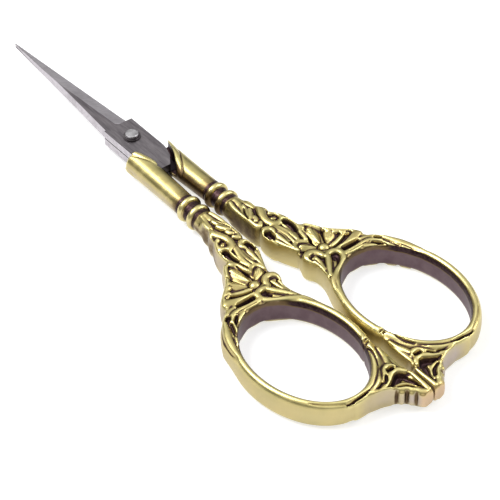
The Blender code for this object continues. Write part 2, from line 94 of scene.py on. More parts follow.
ROLL_WIDTH = 1.5  # the band in which the face rolls down to the walls, from its height at them
ROLL_FOOT = 2.0
ROLL_RISE = 0.62
UNROLLED = 0.6  # how much higher bow and plate may stand where they don't roll

# Where carving gives way to plain bow: distances behind the pivot at its start and end, and how
# far both move back to the sides, per mm squared from the given x
PLATE_TO_BOW, PLATE_SAG, PLATE_SAG_X = (54.2, 57.2), 0.02, 10.0
BOW_FROM, BOW_SAG, BOW_SAG_X = (52.5, 55.0), 0.03, 8.0
HOLE_RIM, HOLE_RIM_FROM = (0.9, 1.4), (51.0, 53.0)  # the same along the hole: width, distance

# Lug at the end of the bow, the leaf that joins it to the bow and the web along its inner edge
LUG = [
    (0.3, -84.75), (1.3, -84.8), (2.1, -84.75), (2.6, -84.35), (2.85, -83.6), (3.3, -82.8),
    (4.0, -81.95), (4.9, -81.25), (5.9, -80.7), (7.2, -80.2), (8.9, -79.85), (9.8, -78.9),
    (8.6, -77.6), (5.5, -75.9), (3.6, -73.2), (2.4, -71.8), (1.7, -72.6), (1.75, -74.2),
    (2.15, -75.4), (2.0, -76.8), (1.2, -78.1), (0.4, -79.0), (0.15, -79.8), (0.15, -84.4),
]
LEAF = [
    (4.2, -75.8), (4.9, -77.6), (5.6, -78.5), (6.8, -79.2), (8.6, -79.7), (10.6, -79.9),
    (12.4, -79.7), (12.4, -78.6), (8.0, -77.5),
]
WEB = [
    (2.4, -69.0), (1.1, -70.3), (0.75, -72.0), (0.7, -74.0), (0.75, -76.0), (0.8, -77.3),
    (0.6, -78.6), (2.6, -78.0), (3.4, -75.0),
]
FLUTES = [(2.95, -83.6), (3.85, -82.3), (5.15, -81.25)]
FLUTE_RADIUS = 0.26
RIBS = [(3.15, -82.75, 0.6), (4.28, -81.55, 0.66)]  # x, y, radius
RIB_BLEND, FLUTE_BLEND = 0.08, 0.12
LUG_SHOULDER_Y = -78.5
LUG_SHOULDER, LUG_GROUND = 1.9, 1.45  # half thickness before and past the shoulder

# Ferrule and neck: turned about an axis that leans outwards from the mouth to the rear collar
MOUTH_Y = -5.0
NECK_END_Y = -31.0
AXIS_X = 2.6  # at the mouth
AXIS_LEAN, AXIS_RUN = 0.55, 19.9  # so far outwards over so much length
FERRULE_PROFILE = [  # distance behind the pivot, radius
    (5.0, 2.52), (6.4, 2.47), (10.7, 2.33), (15.2, 2.2), (20.4, 2.13), (21.1, 2.14),
    (21.3, 1.9), (25.6, 1.9), (25.8, 2.1), (28.5, 2.25), (31.0, 1.6),
]
COLLARS = [(-22.0, 2.58), (-24.9, 2.6)]  # y, radius
COLLAR_CORE = 1.85
COLLAR_WIDTH = 1.35
NECK_ARCH = 2.62  # radius of the plate's face where it leaves the round neck
NECK_TO_PLATE = (26.0, 34.0)  # distances behind the pivot between which that face flattens
NECK_FACE_END_Y = -28.0
FERRULE_LIP = [(2.6, -5.0), (0.3, -10.0), (-9.0, -10.0), (-9.0, 9.0), (2.6, 9.0)]
FERRULE_OPENING = [(4.6, -5.0), (2.76, -9.56), (1.38, -12.1), (0.3, -13.6), (-9.0, -13.6),
                   (-9.0, 9.0), (4.6, 9.0)]
OPENINGS_END_Y = -14.5
OPENINGS_OVERLAP = 0.02
MOUTH_BEAD = (0.45, 0.5, 0.09)  # distance from the mouth's edge, half width, height
MOUTH_CREASE = (1.15, 0.2, 0.14)  # the same, with its depth

# Pocket for the blade's plate, drawn as the front blade has it
BLADE_PLATE = [(-3.15, 4.6), (-3.15, -5.8), (-2.33, -11.1), (0.76, -11.1), (2.33, -8.8),
               (2.93, -7.0), (3.15, -5.8), (3.15, 4.6)]
BLADE_CLEARANCE = 0.15
POCKET_Z, POCKET_HALF = -0.85, 0.92

# How softly surfaces run into each other
OUTLINE_BLEND = 0.3
HOLE_BLEND = 0.25
FACE_BLEND, BOW_BLEND = 0.42, 0.4  # the second is added on the plain bow
LUG_FACE_BLEND, LUG_BLEND = 0.3, 0.4
FERRULE_BLEND = 0.25

# What the patina is found from: how many grid steps are compared with each place, and how far
# from the outline edges count as worn instead
STEPS_AROUND = 4
STEPS_NEAR, STEPS_WIDE = 2, 5
EDGE_BAND = (-0.6, -0.3)

# Painted shade in the recesses beside the collars: y, reach, strength
SHADE_RINGS = [(-23.45, 0.85, 2.0), (-26.0, 0.6, 2.0), (-21.2, 0.9, 1.6)]

# Painted shade darkens the blades between these places, given by y in the frame, in metres
ROOT_SHADE_FROM = (PIVOT_Y - 5.1) * MM
ROOT_SHADE_FULL = (PIVOT_Y - 6.5) * MM

# Colours
DULL_BRASS, BRIGHT_BRASS = (0.435, 0.352, 0.138, 1), (0.58, 0.475, 0.20, 1)
OLIVE_BRASS = (0.30, 0.28, 0.11, 1)
# Worn brass, bright enough to be a painted highlight on the ridges as well
WORN_BRASS_HIGHLIGHT = (0.90, 0.80, 0.36, 1)
# Paler colour of steep walls: a painted reflection of the floor
WALL_REFLECTION_BRASS = (0.59, 0.50, 0.265, 1)
# Mauve on steep walls: a painted reflection
MAUVE_REFLECTION_BRASS = (0.46, 0.39, 0.345, 1)
COPPER = (0.80, 0.50, 0.21, 1)
BROWN = (0.17, 0.115, 0.05, 1)
PLUM = (0.115, 0.075, 0.085, 1), (0.165, 0.115, 0.125, 1)
BLACK = (0.030, 0.014, 0.018, 1), (0.075, 0.045, 0.045, 1)
# Bright ground band and dark flat faces: painted reflection, chosen by the tilt of the surface
GROUND_STEEL_REFLECTION = (0.47, 0.44, 0.47, 1), (0.60, 0.565, 0.595, 1)
FACE_STEEL_REFLECTION = (0.135, 0.122, 0.132, 1), (0.262, 0.24, 0.25, 1)
CLOUDED_STEEL = (0.12, 0.10, 0.11, 1)
# Painted shade on the blades' roots, past the ferrule's mouth
ROOT_SHADE = (0.02, 0.015, 0.018, 1)
RIVET_STEEL = (0.27, 0.26, 0.27, 1), (0.58, 0.57, 0.58, 1)
WASHER_STEEL = (0.07, 0.06, 0.065, 1), (0.17, 0.155, 0.16, 1)

# Camera, as fitted to the photograph
AZIMUTH = math.radians(-36.851)
ELEVATION = math.radians(41.667)
ROLL = math.radians(-1.52)
DISTANCE = 355.743
TARGET = (0.365, -35.388, -MIDDLE_Z)
SENSOR = 36
FOCAL = 1999 / 500 * SENSOR

# Light, in metres and watts, and as strengths where 1 is white
LAMPS = [("key", (-0.25, 0.25, 0.55), 0.35, 3.5), ("fill", (0.45, -0.25, 0.4), 0.4, 1.6)]
FLOOR_SIZE = 3.0
FLOOR_GREY = 0.55
FLOOR_GLOW = 0.62  # added for the camera and for mirrored rays, which makes the floor white
DAYLIGHT = 0.45
WALLS, CEILING = 0.25, 1.0  # what metal mirrors, near the horizon and overhead
CEILING_FROM, CEILING_FULL = 0.28, 0.72


# Shares and outlines

def ramp(value, start, end):
    """0 up to the start and 1 from the end on, whichever of them is higher."""
    return np.clip((value - start) / (end - start), 0, 1)


def hump(value, middle, reach):
    """1 in the middle, falling to 0 at the reach on both sides."""
    return np.clip(1 - ((value - middle) / reach)**2, 0, 1)


def smooth(points, steps=5, closed=False):
    """Catmull-Rom points through the given ones, each with as many values as it has."""
    rows = np.array(points, float)
    if closed:
        rows = np.vstack([rows[-1], rows, rows[:2]])
    else:
        rows = np.vstack([2 * rows[0] - rows[1], rows, 2 * rows[-1] - rows[-2]])
    made = []
    for a, b, c, d in zip(rows, rows[1:], rows[2:], rows[3:]):
        for k in range(steps):
            t = k / steps
            made.append(0.5 * (2 * b + (c - a) * t + (2 * a - 5 * b + 4 * c - d) * t**2
                               + (3 * b - a - 3 * c + d) * t**3))
    if not closed:
        made.append(rows[-2])
    return np.array(made)


def bow_oval(half_width, half_length, start, end, steps):
    """Points of an oval about the bow's middle, between two angles in degrees."""
    turns = np.radians(np.linspace(start, end, steps))
    return np.stack([BOW_X + half_width * np.cos(turns), BOW_Y + half_length * np.sin(turns)], 1)


def segment_nearest(x, y, a, b):
    """How far along a line from a to b each place lies, and its distance from there."""
    dx, dy = b[0] - a[0], b[1] - a[1]
    t = np.clip(((x - a[0]) * dx + (y - a[1]) * dy) / (dx * dx + dy * dy + 1e-12), 0, 1)
    return t, np.hypot(x - a[0] - t * dx, y - a[1] - t * dy)


def polygon_distance(points, x, y):
    """Distance to a closed polygon's edge, negative inside it."""
    points = np.asarray(points)
    nearest = np.full(x.shape, np.inf)
    inside = np.zeros(x.shape, bool)
    for a, b in zip(points, np.roll(points, -1, axis=0)):
        nearest = np.minimum(nearest, segment_nearest(x, y, a, b)[1])
        if a[1] != b[1]:
            crossing = a[0] + (y - a[1]) * (b[0] - a[0]) / (b[1] - a[1])
            inside ^= ((a[1] > y) != (b[1] > y)) & (x < crossing)
    return nearest * np.where(inside, -1, 1)


def rounded_distance(points, x, y):
    return polygon_distance(smooth(points, 4, closed=True), x, y)


def smooth_min(a, b, blend):
    mixed = np.clip(0.5 + 0.5 * (b - a) / blend, 0, 1)
    return b * (1 - mixed) + a * mixed - blend * mixed * (1 - mixed)


def smooth_max(a, b, blend):
    return -smooth_min(-a, -b, blend)


# The carved relief, drawn as strokes: (x, y, half width) along each one's middle line

class Relief:
    """The half thickness over a grid, raised by strokes and sunk by cuts."""

    def __init__(self, x, y, height):
        self.x, self.y = x, y
        self.height = height

    def nearest(self, points, reach):
        """The part of the grid within reach, with each place's distance past the stroke's
        edge, the stroke's half width there and how far along it that is, from 0 to 1."""
        rows = smooth(points)
        low = rows[:, :2].min(0) - rows[:, 2].max() - reach
        high = rows[:, :2].max(0) + rows[:, 2].max() + reach
        window = (slice(*np.searchsorted(self.x[:, 0], (low[0], high[0]))),
                  slice(*np.searchsorted(self.y[0], (low[1], high[1]))))
        x, y = self.x[window], self.y[window]
        past = np.full(x.shape, np.inf)
        width = np.ones(x.shape)
        along = np.zeros(x.shape)
        for k, (a, b) in enumerate(zip(rows, rows[1:])):
            t, distance = segment_nearest(x, y, a, b)
            wide = a[2] + (b[2] - a[2]) * t
            closer = distance - wide < past
            past = np.where(closer, distance - wide, past)
            width = np.where(closer, wide, width)
            along = np.where(closer, (k + t) / (len(rows) - 1), along)
        return window, past, width, along

    def stroke(self, points, top=HALF_THICKNESS, crown=0.85, wall=2.6, dome=0.0, drop=0.0):
        """A rounded ridge whose sides fall steeply to what is below. Its middle may be domed,
        and it may drop towards its start."""
        window, past, width, along = self.nearest(points, 0.6)
        share = np.clip(1 + past / width, 0, 1)
        raised = top - crown * np.minimum(width, 0.6) * (1 - np.sqrt(1 - share**2 * 0.96))
        raised += dome * (1 - share**2) - drop * (1 - along)
        raised -= np.maximum(past, 0) * wall
        self.height[window] = np.maximum(self.height[window], raised)

    def cut(self, points, floor, wall=2.6):
        """A hole down to a level floor, with steep sides."""
        window, past, _, _ = self.nearest(points, 0.8)
        sunk = np.where(past < 0, floor, floor + past * wall)
        self.height[window] = np.minimum(self.height[window], sunk)

    def groove(self, points, depth):
        """A soft line of the given depth pressed into whatever is there."""
        window, past, width, _ = self.nearest(points, 0.1)
        share = np.clip(1 + past / width, 0, 1)
        self.height[window] -= depth * (1 - share**2)**2 * (share < 1)


def petal(relief, base, tip, half_width, top, blunt=0.8, dome=0.5, drop=0.35, veins=True):
    """A domed leaf that falls towards its base, with two veins."""
    base, tip = np.array(base), np.array(tip)
    course = tip - base
    length = np.hypot(*course)
    shares = [(0.0, 0.22), (0.3, 0.58), (0.6, 0.88), (0.85, 1.0), (1.0, blunt)]
    rows = [(*(base + course * t * (1 - 0.5 * half_width / length)), half_width * w)
            for t, w in shares]
    relief.stroke(rows, top - dome, crown=0.5, dome=dome, drop=drop)
    across = np.array([course[1], -course[0]]) / length * half_width
    for offset in (-0.36, 0.36) if veins else ():
        vein = [(*(base + course * t + across * offset * w), 0.12)
                for t, w in ((0.15, 0.4), (0.5, 0.8), (0.85, 1.0))]
        relief.groove(vein, 0.1)


def carve(relief):
    """The ornament of one face, in the order in which one piece overlaps the next."""
    def ridge(points, *rest, **named):
        """A stroke given by the width of its crest, which its foot exceeds."""
        relief.stroke([(x, y, width * 1.25 + 0.05) for x, y, width in points], *rest, **named)

    top = HALF_THICKNESS
    # neck leaf with three lobes, its curl and the ball beside it
    ridge([(3.2, -25.6, 1.0), (3.2, -27.0, 1.0), (2.9, -28.4, 1.0)], 2.0)
    ridge([(3.9, -27.0, 0.35), (4.2, -28.6, 0.4), (4.5, -30.0, 0.3), (4.6, -31.0, 0.15)], 2.25)
    ridge([(3.3, -27.2, 0.4), (3.2, -29.0, 0.5), (2.7, -30.6, 0.45), (1.9, -32.0, 0.2)], 2.35)
    ridge([(2.2, -27.4, 0.35), (1.8, -29.0, 0.5), (1.6, -30.8, 0.5), (1.6, -32.6, 0.4)], 2.4)
    ridge([(3.4, -29.6, 0.3), (2.9, -31.0, 0.45), (2.1, -32.6, 0.5), (1.7, -34.2, 0.5),
           (1.9, -35.4, 0.4)], 2.5)
    ridge([(3.6, -31.2, 0.25), (3.1, -32.1, 0.4), (2.4, -33.1, 0.4)], 2.6)
    ridge([(1.6, -33.6, 0.5), (1.65, -35.0, 0.5), (2.3, -35.7, 0.45), (3.0, -35.2, 0.3)], 2.6)
    ridge([(3.0, -33.4, 0.42), (2.9, -33.9, 0.42), (2.6, -34.3, 0.3)], 2.6)
    relief.groove([(3.0, -30.3, 0.2), (2.3, -31.6, 0.22), (1.9, -33.0, 0.15)], 0.5)
    # outer twig over the neck, then the big C scroll and its stems
    ridge([(5.0, -28.6, 0.3), (5.1, -30.2, 0.35), (5.4, -31.2, 0.3)], 2.3)
    ridge([(5.6, -31.5, 0.5), (5.0, -32.8, 0.6), (4.4, -34.2, 0.55), (4.2, -35.6, 0.55),
           (4.7, -36.8, 0.55), (5.7, -37.2, 0.5), (6.7, -36.6, 0.45), (7.0, -35.5, 0.4),
           (6.5, -34.5, 0.35), (5.8, -34.2, 0.3)], top)
    ridge([(5.5, -35.3, 0.3), (5.8, -35.5, 0.28)], 2.15)
    ridge([(6.3, -32.2, 0.3), (7.0, -34.2, 0.35), (7.6, -36.2, 0.4), (7.7, -38.4, 0.5),
           (7.5, -40.2, 0.55), (7.0, -42.0, 0.45), (6.5, -43.6, 0.25)], 2.5)
    ridge([(4.6, -37.4, 0.22), (5.1, -39.2, 0.35), (5.4, -41.0, 0.35), (5.3, -42.6, 0.2)], 2.45)
    ridge([(4.0, -36.8, 0.22), (4.4, -38.6, 0.3), (4.7, -40.6, 0.3), (4.5, -42.8, 0.2)], 2.4)
    ridge([(5.9, -37.6, 0.25), (6.1, -39.2, 0.35), (5.9, -41.2, 0.25), (5.6, -42.6, 0.15)], 2.35)
    relief.cut([(6.7, -37.7, 0.32), (6.75, -39.0, 0.3), (6.5, -40.6, 0.12)], 1.2)
    # inner scroll with its long leaf
    ridge([(1.5, -42.6, 0.25), (1.3, -40.4, 0.42), (1.5, -38.4, 0.48), (2.1, -37.2, 0.5),
           (3.0, -37.2, 0.45), (3.5, -38.0, 0.35), (3.2, -38.7, 0.25)], top)
    ridge([(3.9, -38.4, 0.25), (4.1, -40.2, 0.25), (3.9, -42.0, 0.2)], 2.3)
    petal(relief, (3.5, -44.2), (3.2, -38.9), 0.72, 2.55, blunt=0.5, dome=0.3, drop=0.2,
          veins=False)
    ridge([(2.3, -40.6, 0.25), (2.7, -42.6, 0.3), (3.3, -44.6, 0.25)], 2.35)
    relief.cut([(2.2, -38.3, 0.36), (2.2, -39.4, 0.3)], 1.2)
    # scalloped frame round the flower
    ridge([(7.8, -40.8, 0.4), (8.2, -40.0, 0.5), (9.0, -40.3, 0.55), (9.8, -41.4, 0.5),
           (10.4, -42.4, 0.45)], top)
    ridge([(10.5, -42.9, 0.4), (11.2, -43.8, 0.45), (12.0, -44.7, 0.4)], 2.55)
    ridge([(12.2, -45.2, 0.45), (13.2, -45.8, 0.55), (14.1, -46.8, 0.6), (14.7, -47.8, 0.6)], 2.55)
    ridge([(9.3, -41.6, 0.3), (10.1, -42.7, 0.3)], 2.3)
    for bead in ((10.9, -44.2), (11.6, -45.1), (12.5, -46.2)):
        ridge([(*bead, 0.3), (bead[0] + 0.15, bead[1] - 0.15, 0.3)], 2.5)
    # half daisy: a curl behind it, petals with gaps, the button and its ring
    ridge([(3.7, -44.8, 0.25), (3.9, -43.7, 0.4), (4.6, -43.0, 0.42), (5.5, -43.2, 0.4),
           (6.3, -44.0, 0.3)], 2.3)
    petal(relief, (7.75, -45.9), (8.75, -41.4), 1.35, 2.45)
    petal(relief, (8.9, -46.6), (11.6, -44.0), 1.3, 2.45)
    petal(relief, (6.7, -46.3), (4.4, -44.3), 1.05, 2.45)
    ridge([(9.0, -47.6, 0.3), (10.8, -47.2, 0.4), (12.5, -46.6, 0.35)], 2.3)
    for gap in ([(8.8, -46.2, 0.12), (9.3, -45.0, 0.16), (10.2, -43.2, 0.24), (10.5, -42.8, 0.2)],
                [(7.0, -46.2, 0.16), (6.9, -44.8, 0.22), (7.2, -43.0, 0.26), (7.4, -41.6, 0.2)],
                [(6.0, -46.8, 0.14), (4.8, -46.0, 0.16), (3.9, -45.4, 0.16)],
                [(9.2, -47.1, 0.14), (10.6, -46.8, 0.16), (12.0, -46.2, 0.2)]):
        relief.groove(gap, 0.5)
    relief.groove([(6.5, -47.3, 0.2), (6.7, -46.6, 0.24), (7.3, -46.1, 0.26), (8.0, -46.1, 0.26),
                   (8.6, -46.6, 0.24), (8.8, -47.2, 0.2)], 0.8)
    relief.stroke([(7.65, -47.15, 0.98), (7.7, -47.2, 0.98)], 2.55, crown=1.1)
    # bands between the flower and the bow
    ridge([(9.2, -49.0, 0.35), (11.0, -48.9, 0.6), (13.0, -48.4, 0.75), (14.8, -48.1, 0.5)],
          top, crown=0.5)
    relief.cut([(8.8, -48.35, 0.12), (10.6, -48.1, 0.2), (12.4, -47.5, 0.28), (13.3, -47.1, 0.3)],
               1.5)
    ridge([(13.0, -46.7, 0.18), (13.4, -46.9, 0.18)], 2.3)
    ridge([(9.4, -50.8, 0.4), (11.0, -50.9, 0.5), (13.2, -50.8, 0.5), (14.9, -50.9, 0.5),
           (16.0, -51.9, 0.5), (16.8, -53.5, 0.5), (17.8, -55.4, 0.5), (18.7, -57.2, 0.25)], top)
    relief.groove([(10.2, -51.0, 0.14), (13.0, -51.0, 0.14), (14.8, -51.2, 0.12)], 0.25)
    ridge([(13.6, -49.5, 0.3), (15.2, -49.9, 0.4), (16.5, -50.3, 0.4), (17.3, -51.2, 0.35),
           (17.9, -52.4, 0.4), (18.9, -54.4, 0.55), (19.7, -56.4, 0.5), (20.3, -58.2, 0.3),
           (20.6, -59.6, 0.06)], 2.45)
    ridge([(14.6, -48.9, 0.3), (15.6, -49.4, 0.3)], 2.4)
    relief.cut([(16.3, -51.0, 0.2), (16.7, -51.4, 0.22)], 1.5)
    relief.cut([(16.9, -52.6, 0.1), (17.5, -54.0, 0.16), (18.0, -55.4, 0.06)], 1.8)
    relief.cut([(14.9, -52.0, 0.2), (15.5, -52.7, 0.3), (15.9, -53.7, 0.25)], 1.3)
    ridge([(13.4, -51.5, 0.3), (14.3, -52.0, 0.4), (14.9, -52.9, 0.35), (14.9, -53.6, 0.2)], 2.45)
    relief.cut([(10.2, -49.8, 0.24), (11.6, -49.85, 0.24), (13.1, -49.75, 0.12)], 1.25)
    # knot under the button, arch with its ribs, and the looped ribbon that ends on the bow
    ridge([(3.2, -49.2, 0.3), (3.1, -48.0, 0.5), (3.9, -47.1, 0.55), (5.0, -47.0, 0.55),
           (5.8, -47.8, 0.5), (6.1, -48.8, 0.4)], top)
    relief.groove([(3.6, -48.2, 0.14), (4.2, -47.6, 0.14), (5.0, -47.6, 0.14)], 0.2)
    ridge([(4.8, -48.7, 0.25), (4.6, -50.2, 0.28), (4.2, -51.8, 0.2)], 2.35)
    ridge([(3.9, -49.2, 0.2), (3.7, -51.2, 0.3), (3.1, -53.4, 0.35), (2.3, -55.2, 0.3)], 2.45)
    ridge([(4.3, -48.4, 0.22), (4.9, -48.3, 0.22)], 2.3)
    ridge([(6.4, -49.2, 0.4), (7.6, -48.9, 0.4), (8.6, -49.2, 0.4), (9.1, -50.2, 0.45),
           (8.6, -51.4, 0.45), (7.2, -52.6, 0.4), (5.4, -53.5, 0.4), (3.6, -54.7, 0.4),
           (2.3, -56.2, 0.4), (1.4, -58.0, 0.4), (0.95, -60.0, 0.5)], top)
    ridge([(6.6, -49.5, 0.4), (5.9, -50.6, 0.45), (4.9, -52.0, 0.4), (3.9, -53.6, 0.3)], top)
    ridge([(7.3, -50.6, 0.18), (6.4, -51.8, 0.22), (5.4, -52.8, 0.15)], 2.2)
    relief.cut([(7.6, -50.2, 0.26), (7.3, -50.9, 0.2)], 1.3)
    ridge([(6.6, -48.3, 0.25), (7.4, -48.5, 0.28)], 2.4)


def carve_bow(relief):
    """Ribbons that part at the bow's bottom, and curls on the inner leg."""
    ridge = relief.stroke
    relief.groove([(2.75, -71.0, 0.2), (2.8, -72.3, 0.36), (3.2, -73.8, 0.36), (4.0, -75.2, 0.2)],
                  0.95)
    relief.groove([(3.8, -75.0, 0.3), (5.4, -76.8, 0.34), (7.2, -78.2, 0.34), (8.8, -78.8, 0.3)],
                  0.26)
    relief.groove([(8.8, -78.85, 0.12), (10.0, -79.0, 0.34), (12.0, -79.1, 0.36),
                   (13.6, -78.9, 0.2)], 0.9)
    relief.groove([(13.4, -79.0, 0.2), (15.2, -77.9, 0.34), (17.0, -76.5, 0.3),
                   (18.4, -75.0, 0.1)], 0.28)
    ridge([(1.5, -70.8, 0.5), (1.8, -72.0, 0.68), (2.1, -73.2, 0.55), (2.6, -74.6, 0.3)], 2.5)
    relief.groove([(1.6, -70.1, 0.3), (2.3, -70.2, 0.4), (3.0, -70.5, 0.4)], 0.9)
    relief.groove([(1.3, -69.5, 0.2), (1.9, -69.5, 0.26), (2.4, -69.7, 0.2)], 0.6)
    ridge([(0.9, -68.3, 0.35), (1.5, -68.5, 0.4), (2.1, -69.1, 0.3)])


def carve_lug(relief):
    """Two pockets between the lug's frame, its ribs and the curl towards the bow."""
    ridge = relief.stroke
    relief.cut([(2.4, -78.9, 0.35), (3.4, -79.3, 0.5), (4.7, -79.85, 0.22)], 0.75)
    relief.cut([(2.2, -79.4, 0.35), (1.7, -81.0, 0.32), (1.3, -83.0, 0.14)], 0.8)
    ridge([(0.5, -79.2, 0.42), (0.55, -81.5, 0.45), (0.7, -84.0, 0.55)], 1.95)
    ridge([(1.4, -84.2, 0.6), (2.0, -83.6, 0.6)], 1.9)
    ridge([(2.2, -83.3, 0.6), (2.9, -82.2, 0.68), (3.9, -81.25, 0.6), (5.2, -80.6, 0.5),
           (7.0, -80.1, 0.45)], 1.95)
    ridge([(5.8, -80.5, 0.5), (7.2, -79.95, 0.6), (8.9, -79.4, 0.7)], 2.25)
    ridge([(4.6, -80.1, 0.16), (3.2, -80.5, 0.34), (2.3, -81.5, 0.3), (1.6, -82.9, 0.16)], 1.6)
    relief.cut([(4.3, -80.6, 0.06), (3.0, -81.25, 0.14), (2.2, -82.3, 0.1)], 1.0)
    ridge([(1.2, -78.8, 0.4), (2.0, -77.9, 0.5), (3.2, -77.8, 0.5), (4.5, -78.6, 0.5),
           (5.8, -79.4, 0.4), (7.0, -79.8, 0.3)], 2.3)
    ridge([(1.2, -72.0, 0.3), (1.6, -74.0, 0.45), (2.2, -75.6, 0.5), (2.4, -76.8, 0.4)], 2.15)
    ridge([(2.1, -76.9, 0.4), (2.8, -76.2, 0.45), (3.7, -76.5, 0.45), (4.4, -77.5, 0.45),
           (5.2, -78.5, 0.3)], 2.35)
    relief.cut([(2.6, -77.1, 0.16), (3.3, -77.15, 0.18)], 1.3)
    relief.cut([(4.5, -77.9, 0.08), (5.1, -78.6, 0.12), (5.8, -79.1, 0.04)], 1.6)


# The handle as a field over the grid, negative inside the metal

def ferrule_axis(y):
    return AXIS_X + AXIS_LEAN * (MOUTH_Y - y) / AXIS_RUN


def ferrule_radius(y):
    radius = np.interp(-y, *zip(*FERRULE_PROFILE))
    for middle, reach in COLLARS:
        bead = hump(y, middle, COLLAR_WIDTH / 2)**0.42
        radius = np.maximum(radius, COLLAR_CORE + (reach - COLLAR_CORE) * bead)
    return radius


def plate_heights(x, y, outline, to_hole):
    """Half thickness of the carved plate and the bow, and how far each place is plain bow."""
    carved = Relief(x, y, np.full(x.shape, GROUND))
    carve(carved)
    carved.height = np.maximum(carved.height, HOLE_LIP * (1 - ramp(to_hole, *HOLE_LIP_WIDTH)))
    sag = PLATE_SAG * (x - PLATE_SAG_X)**2 * (x > PLATE_SAG_X)
    past_plate = ramp(-y - sag, *PLATE_TO_BOW)
    near_rim = (1 - ramp(to_hole, *HOLE_RIM)) * ramp(-y, *HOLE_RIM_FROM)
    on_bow = ramp(-y - BOW_SAG * (x - BOW_SAG_X)**2, *BOW_FROM)
    bow = np.maximum(past_plate, near_rim) * on_bow
    band = np.minimum(np.maximum(-outline, 0), np.maximum(to_hole, 0))
    plain = BOW_EDGE + BOW_CROWN * np.sqrt(hump(band, BOW_CROWN_AT, BOW_CROWN_REACH))
    face = Relief(x, y, np.maximum(carved.height, plain * bow + carved.height * (1 - bow)))
    carve_bow(face)
    flatten = ramp(-y, *NECK_TO_PLATE)
    arch = NECK_ARCH**2 - (x - ferrule_axis(y))**2 * (1 - flatten)**1.5
    arch = np.sqrt(np.maximum(arch, 0.3)) + UNROLLED * flatten
    rolled = ROLL_FOOT + ROLL_RISE * np.sqrt(1 - ramp(outline, -ROLL_WIDTH, 0)**2)
    return np.minimum.reduce([face.height, arch, rolled + UNROLLED * bow]), bow


def lug_field(x, y, z, barrel):
    """The lug with its web, ribs and flutes; also its half thickness and its outline."""
    relief = Relief(x, y, np.where(y > LUG_SHOULDER_Y, LUG_SHOULDER, LUG_GROUND))
    carve_lug(relief)
    outline = smooth_min(rounded_distance(LUG, x, y), rounded_distance(WEB, x, y), OUTLINE_BLEND)
    for rib_x, rib_y, radius in RIBS:
        outline = smooth_min(outline, np.hypot(x - rib_x, y - rib_y) - radius, RIB_BLEND)
    field = smooth_max(outline[..., None] + barrel, np.abs(z) - relief.height[..., None],
                       LUG_FACE_BLEND)
    for flute_x, flute_y in FLUTES:
        flute = FLUTE_RADIUS - np.hypot(x - flute_x, y - flute_y)
        field = smooth_max(field, flute[..., None], FLUTE_BLEND)
    return field, relief.height, outline


def ferrule_fields(x, y, z):
    """The ferrule and neck as a turned piece, and the spaces that are cut from it."""
    lip, opening, pocket = (
        polygon_distance(points, x[:, :, 0], y[:, :, 0])[..., None]
        for points in (FERRULE_LIP, FERRULE_OPENING, np.array(BLADE_PLATE) * (-1, 1))
    )
    tube = np.maximum(np.hypot(x - ferrule_axis(y), z) - ferrule_radius(y),
                      np.maximum(y - MOUTH_Y, NECK_END_Y - y))
    edge = np.where(z < 0, lip, opening)
    in_front = y > OPENINGS_END_Y
    bead, crease = (size * hump(edge, middle, reach) * in_front
                    for middle, reach, size in (MOUTH_BEAD, MOUTH_CREASE))
    spaces = np.minimum.reduce([
        np.maximum(lip, z - OPENINGS_OVERLAP), np.maximum(opening, -z - OPENINGS_OVERLAP),
        np.maximum(pocket - BLADE_CLEARANCE, np.abs(z - POCKET_Z) - POCKET_HALF),
    ])
    return tube - bead + crease, spaces


def widest_near(values, reach):
    """Each place's highest value within a square about it."""
    for axis in (0, 1):
        padded = np.pad(values, [(reach, reach) if a == axis else (0, 0) for a in (0, 1)], "edge")
        length = values.shape[axis]
        values = np.maximum.reduce([
            np.take(padded, range(k, k + length), axis=axis) for k in range(2 * reach + 1)
        ])
    return values


def handle_field(x, y, z):
    """The field, the flat grids that the finish depends on, and where the ferrule is hollow."""
    flat_x, flat_y = x[:, :, 0], y[:, :, 0]
    bow = bow_oval(HOLE[0] + RIM, HOLE[1] + RIM, *BOW_TURN, 70)
    body = np.vstack([bow, smooth(OUTER, 4), smooth(INNER, 4)])
    outline = smooth_min(polygon_distance(body, flat_x, flat_y),
                         rounded_distance(LEAF, flat_x, flat_y), OUTLINE_BLEND)
    to_hole = polygon_distance(bow_oval(*HOLE, 0, 357, 120), flat_x, flat_y)
    barrel = BARREL * (np.abs(z) / HALF_THICKNESS)**2

    plate_top, plain_bow = plate_heights(flat_x, flat_y, outline, to_hole)
    walls = smooth_max(outline[..., None] + barrel, -to_hole[..., None], HOLE_BLEND)
    plate = smooth_max(walls, np.abs(z) - plate_top[..., None],
                       (FACE_BLEND + BOW_BLEND * plain_bow)[..., None])
    lug, lug_top, lug_outline = lug_field(flat_x, flat_y, z, barrel)
    tube, spaces = ferrule_fields(x, y, z)
    metal = smooth_min(plate, np.maximum(lug, -to_hole[..., None]), LUG_BLEND)
    metal = np.maximum(smooth_min(metal, tube, FERRULE_BLEND), -spaces)

    # the face's height, and how far it lies below the highest place around
    neck_top = ferrule_radius(flat_y)**2 - (flat_x - ferrule_axis(flat_y))**2
    neck_top = np.sqrt(np.maximum(neck_top, 0)) * (flat_y > NECK_FACE_END_Y)
    highest = np.maximum.reduce([plate_top * (outline < 0), lug_top * (lug_outline < 0), neck_top])
    around = widest_near(highest, STEPS_AROUND)
    highest = np.where(highest > 0, highest, around)
    flat = {
        "to_hole": to_hole,
        "highest": highest,
        "sunk": (around - highest) * ramp(flat_y, NECK_FACE_END_Y + 1, NECK_FACE_END_Y),
        "edge_near": ramp(np.minimum(outline, lug_outline), *EDGE_BAND),
    }
    hollow = np.hypot(x - ferrule_axis(y), z) < ferrule_radius(y) - 0.25
    return metal, flat, hollow & (y > OPENINGS_END_Y)


# Field to mesh

